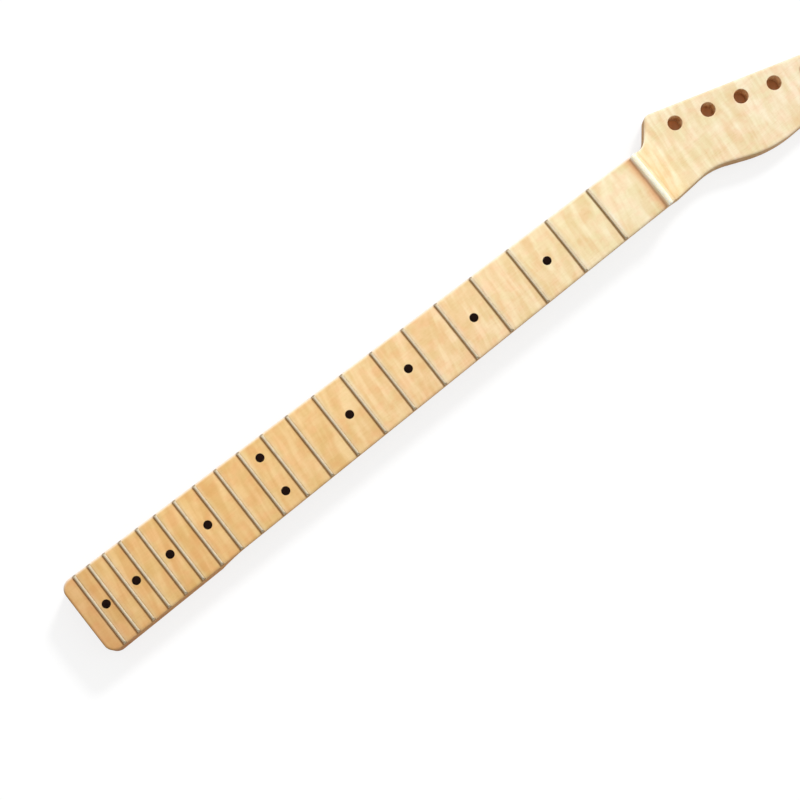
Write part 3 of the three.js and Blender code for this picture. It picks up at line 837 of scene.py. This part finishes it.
class Nodes:
    """A tree of nodes, with short ways to add to it."""

    def __init__(self, tree):
        self.tree = tree

    def node(self, kind, inputs, **settings):
        made = self.tree.nodes.new(kind)
        for key, value in settings.items():
            setattr(made, key, value)
        for key, value in inputs.items():
            if isinstance(value, bpy.types.NodeSocket):
                self.tree.links.new(value, made.inputs[key])
            else:
                made.inputs[key].default_value = value
        return made

    def coordinates(self, kind):
        return self.node("ShaderNodeTexCoord", {}).outputs[kind]

    def rays(self):
        return self.node("ShaderNodeLightPath", {}).outputs

    def split(self, vector):
        return self.node("ShaderNodeSeparateXYZ", {0: vector}).outputs

    def scaled(self, vector, scale):
        return self.node("ShaderNodeVectorMath", {0: vector, 1: scale}, operation="MULTIPLY").outputs[0]

    def noise(self, place, detail=2, roughness=0.5):
        inputs = {"Vector": place, "Scale": 1, "Detail": detail, "Roughness": roughness}
        return self.node("ShaderNodeTexNoise", inputs).outputs["Fac"]

    def spread(self, value, low, high, to_low=0, to_high=1):
        inputs = {"Value": value, "From Min": low, "From Max": high, "To Min": to_low, "To Max": to_high}
        return self.node("ShaderNodeMapRange", inputs, clamp=True).outputs[0]

    def math(self, operation, a, b=0):
        return self.node("ShaderNodeMath", {0: a, 1: b}, operation=operation).outputs[0]

    def product(self, first, *others):
        for other in others:
            first = self.math("MULTIPLY", first, other)
        return first

    def blend(self, share, a, b, kind="MIX"):
        inputs = {0: share, 6: a, 7: b}
        return self.node("ShaderNodeMix", inputs, data_type="RGBA", blend_type=kind).outputs[2]

    def tint(self, color, share, times):
        """Multiplies the colour by another where the share says so."""
        return self.blend(share, color, (*times, 1), "MULTIPLY")

    def ramp(self, value, stops):
        made = self.node("ShaderNodeValToRGB", {0: value})
        elements = made.color_ramp.elements
        for place, color in stops[2:]:
            elements.new(place)
        for element, (place, color) in zip(elements, stops):
            element.position = place
            element.color = (*color, 1)
        return made.outputs[0]


class Look(Nodes):
    """A material of nodes, built up from its shader."""

    def __init__(self, name, **values):
        self.material = bpy.data.materials.new(name)
        self.material.use_nodes = True
        super().__init__(self.material.node_tree)
        self.shader = self.tree.nodes["Principled BSDF"]
        for socket, value in values.items():
            self.shader.inputs[socket.replace("_", " ")].default_value = value

    def place(self, fineness=(1, 1, 1)):
        """Place in the frame, in millimetres, each axis times its fineness."""
        return self.scaled(self.coordinates("Object"), tuple(value / METRES for value in fineness))

    def facing(self):
        return self.split(self.coordinates("Normal"))

    def wear(self, height, strength, depth):
        inputs = {"Strength": strength, "Distance": depth * METRES, "Height": height}
        self.set("Normal", self.node("ShaderNodeBump", inputs).outputs[0])

    def set(self, socket, value):
        self.tree.links.new(value, self.shader.inputs[socket])


# Looks. Fineness is in noise cells per millimetre along X, Y and Z. Levels are where a spread starts and
# ends, then what it gives there if not 0 and 1. Stops are colours at levels. Wear is strength and depth.

# Maple from the heel's end to the tip, darker towards the heel, partly its tone and partly painted falloff of
# light, and its flame
maple_stops = [
    (0.0, (0.725, 0.435, 0.192)),
    (0.05, (0.805, 0.53, 0.232)),
    (0.15, (0.86, 0.568, 0.25)),
    (0.3, (0.91, 0.645, 0.32)),
    (0.46, (0.972, 0.74, 0.452)),
    (0.6, (0.978, 0.82, 0.532)),
    (0.7, (0.972, 0.848, 0.583)),
    (1.0, (0.97, 0.845, 0.645)),
]
flame_fineness = (0.22, 0.03, 0.03)
flame_wander = 9
wander_fineness = (0.025, 0.012, 0.012)
flame_slants = {"Y": -0.12, "Z": 0.3}
flame_levels = (0.36, 0.60)
flame_tint = (0.92, 0.845, 0.735)
flame_wear = (1, 0.08)
flame_roughness = (0.35, 0.7, 0.36, 0.48)

# Patches, blush, fibres and flecks: fineness, detail, roughness of the noise, levels and tint
maple_layers = [
    ((0.09, 0.1, 0.1), 3, 0.5, (0.42, 0.62), (0.94, 0.94, 0.85)),
    ((0.12, 0.13, 0.13), 2, 0.5, (0.46, 0.64), (1.0, 0.92, 0.90)),
    ((0.018, 1.1, 1.1), 4, 0.6, (0.42, 0.75), (0.97, 0.94, 0.90)),
    ((0.35, 2.6, 2.6), 1, 0.5, (0.62, 0.72), (0.95, 0.91, 0.86)),
]

# Where the maple faces sideways (painted shade, rougher, less coat), endways (darker end grain and painted
# shade), up, or to the bass side (painted highlight)
wall_levels = (0.15, 0.6, 1, 0)
wall_shade_tint = (0.88, 0.68, 0.52)
wall_roughness = 0.8
face_coat = 0.18
wall_coat = 0.03
end_grain_and_shade_levels = (0.05, 0.55)
end_grain_and_shade_tint = (0.84, 0.78, 0.70)
upper_levels = (0.3, 0.6)
edge_highlight_levels = (0.15, 0.6, 0, 0.6)
edge_highlight_headstock_share = 0.4
edge_highlight_color = (1, 0.95, 0.84, 1)

# Tints of the painted shade and light on the board: fret shadow, fret highlight, warm shade and shadow before
# the nut, and a pale strip of painted bounce light at the nut
mark_tints = [
    (0.56, 0.43, 0.30),
    (0.95, 1.07, 1.34),
    (0.92, 0.70, 0.58),
    (0.86, 0.80, 0.78),
    (1.0, 1.11, 1.38),
]


def board_marks(look, x, upper):
    """Share and tint of the painted shade and light on the board: a shadow at each fret's heel side, a
    highlight at its nut side, and shade and bounce light before the nut.
    """
    before_nut = look.math("SUBTRACT", nut_x, x)
    to_bridge = look.math("SUBTRACT", 1, look.math("DIVIDE", before_nut, scale_length))
    semitones = look.math("MULTIPLY", look.math("LOGARITHM", to_bridge, 2), -frets_per_octave)
    from_fret = look.math("SUBTRACT", semitones, look.math("ROUND", semitones))
    semitone_length = look.math("MULTIPLY", to_bridge, scale_length * math.log(2) / frets_per_octave)
    past_fret = look.math("MULTIPLY", from_fret, semitone_length)
    edge = fret_crown_width / 2
    first, last = 1 - mark_end_share, fret_count + mark_end_share
    past_first = look.spread(semitones, first, first + mark_blend_share)
    before_last = look.spread(semitones, last, last + mark_blend_share, 1, 0)
    on_board = look.product(past_first, before_last, upper)
    # Painted shadow on the board at the heel side of each fret
    fret_shadow = look.spread(past_fret, edge + fret_shadow_full, edge + fret_shadow_reach, 1, 0)
    fret_shadow = look.product(fret_shadow, look.spread(past_fret, -edge - fret_shadow_blend, -edge), on_board)
    # Painted highlight on the board at the nut side of each fret
    fret_highlight = look.spread(past_fret, -edge - fret_highlight_reach, -edge)
    fret_highlight = look.product(fret_highlight, look.spread(past_fret, -edge / 2, 0, 1, 0), on_board)
    # Past the strip of painted bounce light right at the nut
    past_bounce_strip = look.product(look.spread(before_nut, nut_bounce_full, nut_bounce_reach), upper)
    # Painted warm shade on the board before the nut
    nut_warm_shade = look.product(look.spread(before_nut, nut_shadow_full, nut_warm_shade_reach, 1, 0), past_bounce_strip)
    # Painted shadow of the nut on the board
    nut_shadow = look.product(look.spread(before_nut, nut_shadow_full, nut_shadow_reach, 1, 0), past_bounce_strip)
    # A pale strip of painted bounce light from the nut's face on the board right before it
    nut_bounce_light = look.spread(before_nut, nut_bounce_full, nut_bounce_reach, 1, 0)
    nut_bounce_light = look.product(nut_bounce_light, look.spread(before_nut, -nut_edge_blend, 0), upper)
    return zip([fret_shadow, fret_highlight, nut_warm_shade, nut_shadow, nut_bounce_light], mark_tints)


def maple_flame(look, along):
    """Noise in bands across the neck that wander along it and lean."""
    wander = look.noise(look.place(wander_fineness))
    shifted = look.math("ADD", along["X"], look.spread(wander, 0, 1, -flame_wander, flame_wander))
    for axis, slant in flame_slants.items():
        shifted = look.math("ADD", shifted, look.math("MULTIPLY", along[axis], slant))
    bent = look.node("ShaderNodeCombineXYZ", {"X": shifted, "Y": along["Y"], "Z": along["Z"]}).outputs[0]
    return look.noise(look.scaled(bent, flame_fineness))


def maple_look():
    """Flamed maple under tinted lacquer, with its grain along the neck."""
    look = Look("flamed_maple", Coat_Roughness=0.22, Coat_IOR=1.5, IOR=1.45, Specular_IOR_Level=0.35)
    along = look.split(look.place())
    facing = look.facing()
    flame = maple_flame(look, along)
    wall = look.spread(look.math("ABSOLUTE", facing["Z"]), *wall_levels)
    end_grain_and_shade = look.spread(look.math("ABSOLUTE", facing["X"]), *end_grain_and_shade_levels)
    upper = look.spread(facing["Z"], *upper_levels)
    # Painted highlight on the rolled edges that face the bass side, fainter on the headstock
    fade = (nut_x + edge_highlight_full_past_nut, nut_x + edge_highlight_fades_past_nut, 1, edge_highlight_headstock_share)
    edge_highlight = look.product(look.spread(facing["Y"], *edge_highlight_levels), upper, look.spread(along["X"], *fade))

    # Darker towards the heel: partly the wood's tone, partly a painted falloff of light
    color = look.ramp(look.spread(along["X"], heel_end_x, tip_x), maple_stops)
    color = look.tint(color, look.spread(flame, *flame_levels), flame_tint)
    for fineness, detail, roughness, levels, times in maple_layers:
        layer = look.noise(look.place(fineness), detail, roughness)
        color = look.tint(color, look.spread(layer, *levels), times)
    # Darker end grain, and painted shade that holds down the ramp behind the nut, which faces the key lamp
    color = look.tint(color, end_grain_and_shade, end_grain_and_shade_tint)
    # Painted shade on the side walls
    color = look.tint(color, wall, wall_shade_tint)
    for share, times in board_marks(look, along["X"], upper):
        color = look.tint(color, share, times)
    look.set("Base Color", look.blend(edge_highlight, color, edge_highlight_color))
    dull = look.math("MULTIPLY", wall, wall_roughness)
    look.set("Roughness", look.math("MAXIMUM", look.spread(flame, *flame_roughness), dull))
    look.set("Coat Weight", look.spread(wall, 0, 1, face_coat, wall_coat))
    look.wear(flame, *flame_wear)
    return look.material


def grained_look(name, fineness, detail, noise_roughness, stops, roughness, wear, **values):
    """A look whose colour, roughness and wear all follow one noise."""
    look = Look(name, **values)
    grain = look.noise(look.place(fineness), detail, noise_roughness)
    look.set("Base Color", look.ramp(grain, stops))
    look.set("Roughness", look.spread(grain, *roughness))
    look.wear(grain, *wear)
    return look.material


def walnut_look():
    stops = [(0.35, (0.006, 0.003, 0.002)), (0.7, (0.028, 0.012, 0.007))]
    levels = (0.3, 0.7, 0.35, 0.5)
    finish = {"Coat_Weight": 0.25, "Coat_Roughness": 0.2}
    return grained_look("stripe_wood", (0.05, 2.2, 2.2), 4, 0.65, stops, levels, (0.3, 0.02), **finish)


def dot_look():
    stops = [(0.3, (0.006, 0.002, 0.001)), (0.7, (0.014, 0.005, 0.003))]
    levels = (0.3, 0.7, 0.36, 0.5)
    finish = {"Specular_IOR_Level": 0.06}
    return grained_look("dot_plastic", (0.5, 0.5, 0.5), 3, 0.5, stops, levels, (0.1, 0.01), **finish)


def steel_look():
    stops = [(0.3, (0.33, 0.33, 0.34)), (0.7, (0.50, 0.50, 0.50))]
    levels = (0.3, 0.7, 0.3, 0.48)
    return grained_look("steel", (0.6, 3, 3), 4, 0.65, stops, levels, (0.2, 0.02), Metallic=1)


def bare_maple_look():
    """Bare, darkened wood in the bores: it is darker in patches."""
    stops = [(0.35, (0.76, 0.49, 0.29)), (0.65, (0.99, 0.80, 0.54))]
    patch_fineness, patch_levels, patch_tint = (0.2, 0.2, 0.12), (0.4, 0.6), (0.80, 0.66, 0.52)
    roughness, wear = (0.3, 0.7, 0.7, 0.9), (0.6, 0.08)
    look = Look("bored_maple", Specular_IOR_Level=0.2)
    grain = look.noise(look.place((1.4, 1.4, 0.4)), 3, 0.6)
    patches = look.spread(look.noise(look.place(patch_fineness), 1), *patch_levels)
    look.set("Base Color", look.tint(look.ramp(grain, stops), patches, patch_tint))
    look.set("Roughness", look.spread(grain, *roughness))
    look.wear(grain, *wear)
    return look.material


# Nickel silver: dull patches, scratches, painted shade at the ends and on the heel-side flank, and a painted
# highlight on the nut-side flank
fret_patch_fineness = (0.3, 0.3, 0.3)
fret_stops = [(0.35, (0.72, 0.59, 0.40)), (0.7, (0.79, 0.67, 0.47))]
scratch_fineness = (9, 0.35, 4)
scratch_levels = (0.5, 0.8)
scratch_tint = (0.9, 0.89, 0.86)
scratch_roughness = (0.3, 0.75, 0.2, 0.32)
scratch_wear = (0.15, 0.01)
fret_end_shade_tint = (0.42, 0.34, 0.25)
heel_flank_shade_levels = (-0.8, -0.35, 1, 0)
heel_flank_shade_tint = (0.78, 0.68, 0.54)
nut_flank_highlight_levels = (0.35, 0.8)
nut_flank_highlight_tint = (1.25, 1.36, 1.6)


def fret_look():
    """Polished nickel silver with fine scratches along each fret, with painted shade at the ends and on the
    heel-side flank and a painted highlight on the nut-side flank.
    """
    look = Look("fret_metal", Metallic=1)
    scratches = look.noise(look.place(scratch_fineness), 4, 0.7)
    color = look.ramp(look.noise(look.place(fret_patch_fineness)), fret_stops)
    color = look.tint(color, look.spread(scratches, *scratch_levels), scratch_tint)
    along = look.split(look.place())
    half_width = look.spread(along["X"], heel_end_x, nut_x, heel_width / 2, nut_width / 2)
    to_edge = look.math("SUBTRACT", half_width, look.math("ABSOLUTE", along["Y"]))
    # Painted shade at both ends of each fret
    ends = look.spread(to_edge, fret_end_shade_full, fret_end_shade_reach, 1, 0)
    color = look.tint(color, ends, fret_end_shade_tint)
    facing = look.facing()
    # Painted shade on the heel-side flank
    color = look.tint(color, look.spread(facing["X"], *heel_flank_shade_levels), heel_flank_shade_tint)
    # Painted highlight on the nut-side flank
    color = look.tint(color, look.spread(facing["X"], *nut_flank_highlight_levels), nut_flank_highlight_tint)
    look.set("Base Color", color)
    look.set("Roughness", look.spread(scratches, *scratch_roughness))
    look.wear(scratches, *scratch_wear)
    return look.material


# Bone: faint clouds and pores, light that scatters inside it, and a painted glow on its heel-facing side
cloud_fineness = (0.25, 0.12, 0.25)
cloud_stops = [(0.3, (0.91, 0.84, 0.65)), (0.7, (0.95, 0.885, 0.70))]
cloud_roughness = (0.3, 0.7, 0.36, 0.46)
pore_fineness = (3, 1.2, 3)
pore_levels = (0.62, 0.75)
pore_tint = (0.96, 0.94, 0.88)
pore_wear = (0.1, 0.01)
scatter_radii = (4, 3.6, 3)
nut_face_glow_color = (1, 0.92, 0.76, 1)
nut_face_glow_levels = (-0.9, -0.3, 0.28, 0)


def nut_look():
    radii = [radius * METRES for radius in scatter_radii]
    finish = {"Coat_Weight": 0.1, "Coat_Roughness": 0.3, "Emission_Color": nut_face_glow_color}
    look = Look("nut_bone", Subsurface_Weight=0.85, Subsurface_Scale=1, Subsurface_Radius=radii, **finish)
    cloud = look.noise(look.place(cloud_fineness), 4)
    pores = look.noise(look.place(pore_fineness))
    color = look.ramp(cloud, cloud_stops)
    look.set("Base Color", look.tint(color, look.spread(pores, *pore_levels), pore_tint))
    look.set("Roughness", look.spread(cloud, *cloud_roughness))
    # Painted glow on the heel-facing side, which lies in the key lamp's shade
    look.set("Emission Strength", look.spread(look.facing()["X"], *nut_face_glow_levels))
    look.wear(pores, *pore_wear)
    return look.material


# Floor: its grey for light and for the eye, a painted wood-coloured shade close under the neck, and where it
# lies open
floor_lit_color = (0.6, 0.6, 0.6, 1)
floor_seen_color = (0.22, 0.22, 0.22, 1)
floor_painted_shade_color = (0.95, 0.53, 0.27, 1)
floor_painted_shade_levels = (0.12, 0.3)
floor_open_levels = (0.2, 0.42, 0, 0.8)


def floor_look():
    """White where it lies open, for the camera and for mirrors, and painted wood-coloured shade under the
    tuner holes.
    """
    look = Look("floor", Specular_IOR_Level=0, Roughness=1, Emission_Color=(1, 1, 1, 1))
    ray = look.rays()
    seen = look.math("MAXIMUM", ray["Is Camera Ray"], ray["Is Glossy Ray"])
    reach = {"Distance": floor_shade_reach * METRES}
    openness = look.node("ShaderNodeAmbientOcclusion", reach).outputs["AO"]
    plain = look.blend(seen, floor_lit_color, floor_seen_color)
    # Painted wood-coloured shade where the floor lies close under the neck
    painted_floor_shade = look.spread(openness, *floor_painted_shade_levels)
    look.set("Base Color", look.blend(painted_floor_shade, floor_painted_shade_color, plain))
    look.set("Emission Strength", look.math("MULTIPLY", seen, look.spread(openness, *floor_open_levels)))
    return look.material


# Where shading breaks, and how upright the normals of a hole's wall may stand
sharp_angle = 32
wall_normal_z = 0.75


def dress(piece, materials, body, node):
    """Gives a piece its looks and smooth shading, says what it rides on, and hides the model's part that it
    stands for.
    """
    piece.data.materials.clear()
    for material in materials:
        piece.data.materials.append(material)
    for face in piece.data.polygons:
        face.use_smooth = True
    piece.data.set_sharp_from_angle(angle=math.radians(sharp_angle))
    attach(piece, body)
    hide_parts(node)


def bare_walls(neck):
    """Gives the walls of the tuner holes and of the adjuster's bore the second look, bare wood."""
    mesh = neck.data
    centres = np.array([tuple(face.center) for face in mesh.polygons]) / METRES
    normals = np.array([tuple(face.normal) for face in mesh.polygons])
    margin = hole_edge_radius / 2
    bare = np.zeros(len(centres), bool)
    for x, y in tuner_centres():
        radius = np.hypot(centres[:, 0] - x, centres[:, 1] - y)
        bare |= (radius < tuner_hole_diameter / 2 + margin) & (np.abs(normals[:, 2]) < wall_normal_z)
    from_bore = np.hypot(centres[:, 1], centres[:, 2] - rod_end_z)
    in_bore = (centres[:, 0] > heel_end_x + margin) & (centres[:, 0] < channel_low_x)
    bare |= (from_bore < adjuster_bore_radius + margin) & in_bore
    for face, is_bare in zip(mesh.polygons, bare):
        face.material_index = int(is_bare)


# Camera
camera_data = bpy.data.cameras.new("camera")
camera = linked("camera", camera_data)
camera_data.sensor_width = sensor_width
camera_data.lens = focal_pixels * sensor_width / frame_pixels
camera_data.clip_start = camera_near * METRES
camera_data.clip_end = camera_far * METRES
turn = Matrix((camera_right, camera_up, [-c for c in camera_forward])).transposed()
camera.matrix_world = Matrix.Translation(Vector(camera_place) * METRES) @ turn.to_4x4()
bpy.context.scene.camera = camera

# The neck with its stripe, and everything let into it
maple = maple_look()
bare_maple = bare_maple_look()
walnut = walnut_look()
bone = nut_look()
fret_metal = fret_look()
dot_plastic = dot_look()
steel = steel_look()

neck = neck_mesh("fine_neck")
stripe = under_rod("fine_stripe", -rod_half_space, seat_clearance)
combine(stripe, linked("whole_neck", neck.data.copy()), "INTERSECT")
carve(neck)
dress(neck, [maple, bare_maple], "neck", "neck")
bare_walls(neck)
dress(stripe, [walnut], "neck", "back_stripe")
for number in range(1, fret_count + 1):
    dress(fret_piece(number), [fret_metal], "neck", f"fret_{number:02d}")
dress(nut_piece(), [bone], "neck", "nut")
for name, *shape in dots():
    dress(disc(f"fine_{name}", *shape), [dot_plastic], "neck", name)
dress(adjuster_piece(), [steel], "adjuster", "truss_rod_adjuster")
for name in ("truss_rod", "truss_rod_anchor", "truss_rod_washer"):
    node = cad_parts[name]
    node.data.materials.clear()
    node.data.materials.append(steel)

# Floor
corners = [(x * floor_half_size, y * floor_half_size) for x, y in ((-1, -1), (1, -1), (1, 1), (-1, 1))]
floor = mesh_object("floor", [Vector((*corner, -floor_gap)) for corner in corners], [range(4)])
floor.data.materials.append(floor_look())

# Soft light all round, white to the camera, and a brighter part that only glossy things mirror
world = bpy.data.worlds.new("studio")
bpy.context.scene.world = world
world.use_nodes = True
sky = Nodes(world.node_tree)
background = sky.tree.nodes["Background"]
direction = sky.coordinates("Generated")
ray = sky.rays()


def sky_light(toward, levels):
    """Brightness that rises as a direction turns toward another."""
    inputs = {0: direction, 1: Vector(toward).normalized()}
    turned_toward = sky.node("ShaderNodeVectorMath", inputs, operation="DOT_PRODUCT").outputs["Value"]
    return sky.spread(turned_toward, *levels)


mirrored = sky.math("MULTIPLY", sky_light(metal_toward, metal_levels), ray["Is Glossy Ray"])
level = sky.math("MAXIMUM", sky_light(soft_toward, soft_levels), mirrored)
level = sky.math("MAXIMUM", level, ray["Is Camera Ray"])
sky.tree.links.new(level, background.inputs["Strength"])
background.inputs["Color"].default_value = (1, 1, 1, 1)

# Key lamp
key_data = bpy.data.lights.new("key", "SUN")
key_data.energy = key_strength
key_data.angle = math.radians(key_spread)
key = linked("key", key_data)
rise, round_z = math.radians(key_elevation), math.radians(key_azimuth)
toward_key = Vector((math.cos(rise) * math.cos(round_z), math.cos(rise) * math.sin(round_z), math.sin(rise)))
key.rotation_euler = (-toward_key).to_track_quat("-Z", "Y").to_euler()
key.visible_glossy = False

bpy.context.scene.view_settings.view_transform = "Standard"
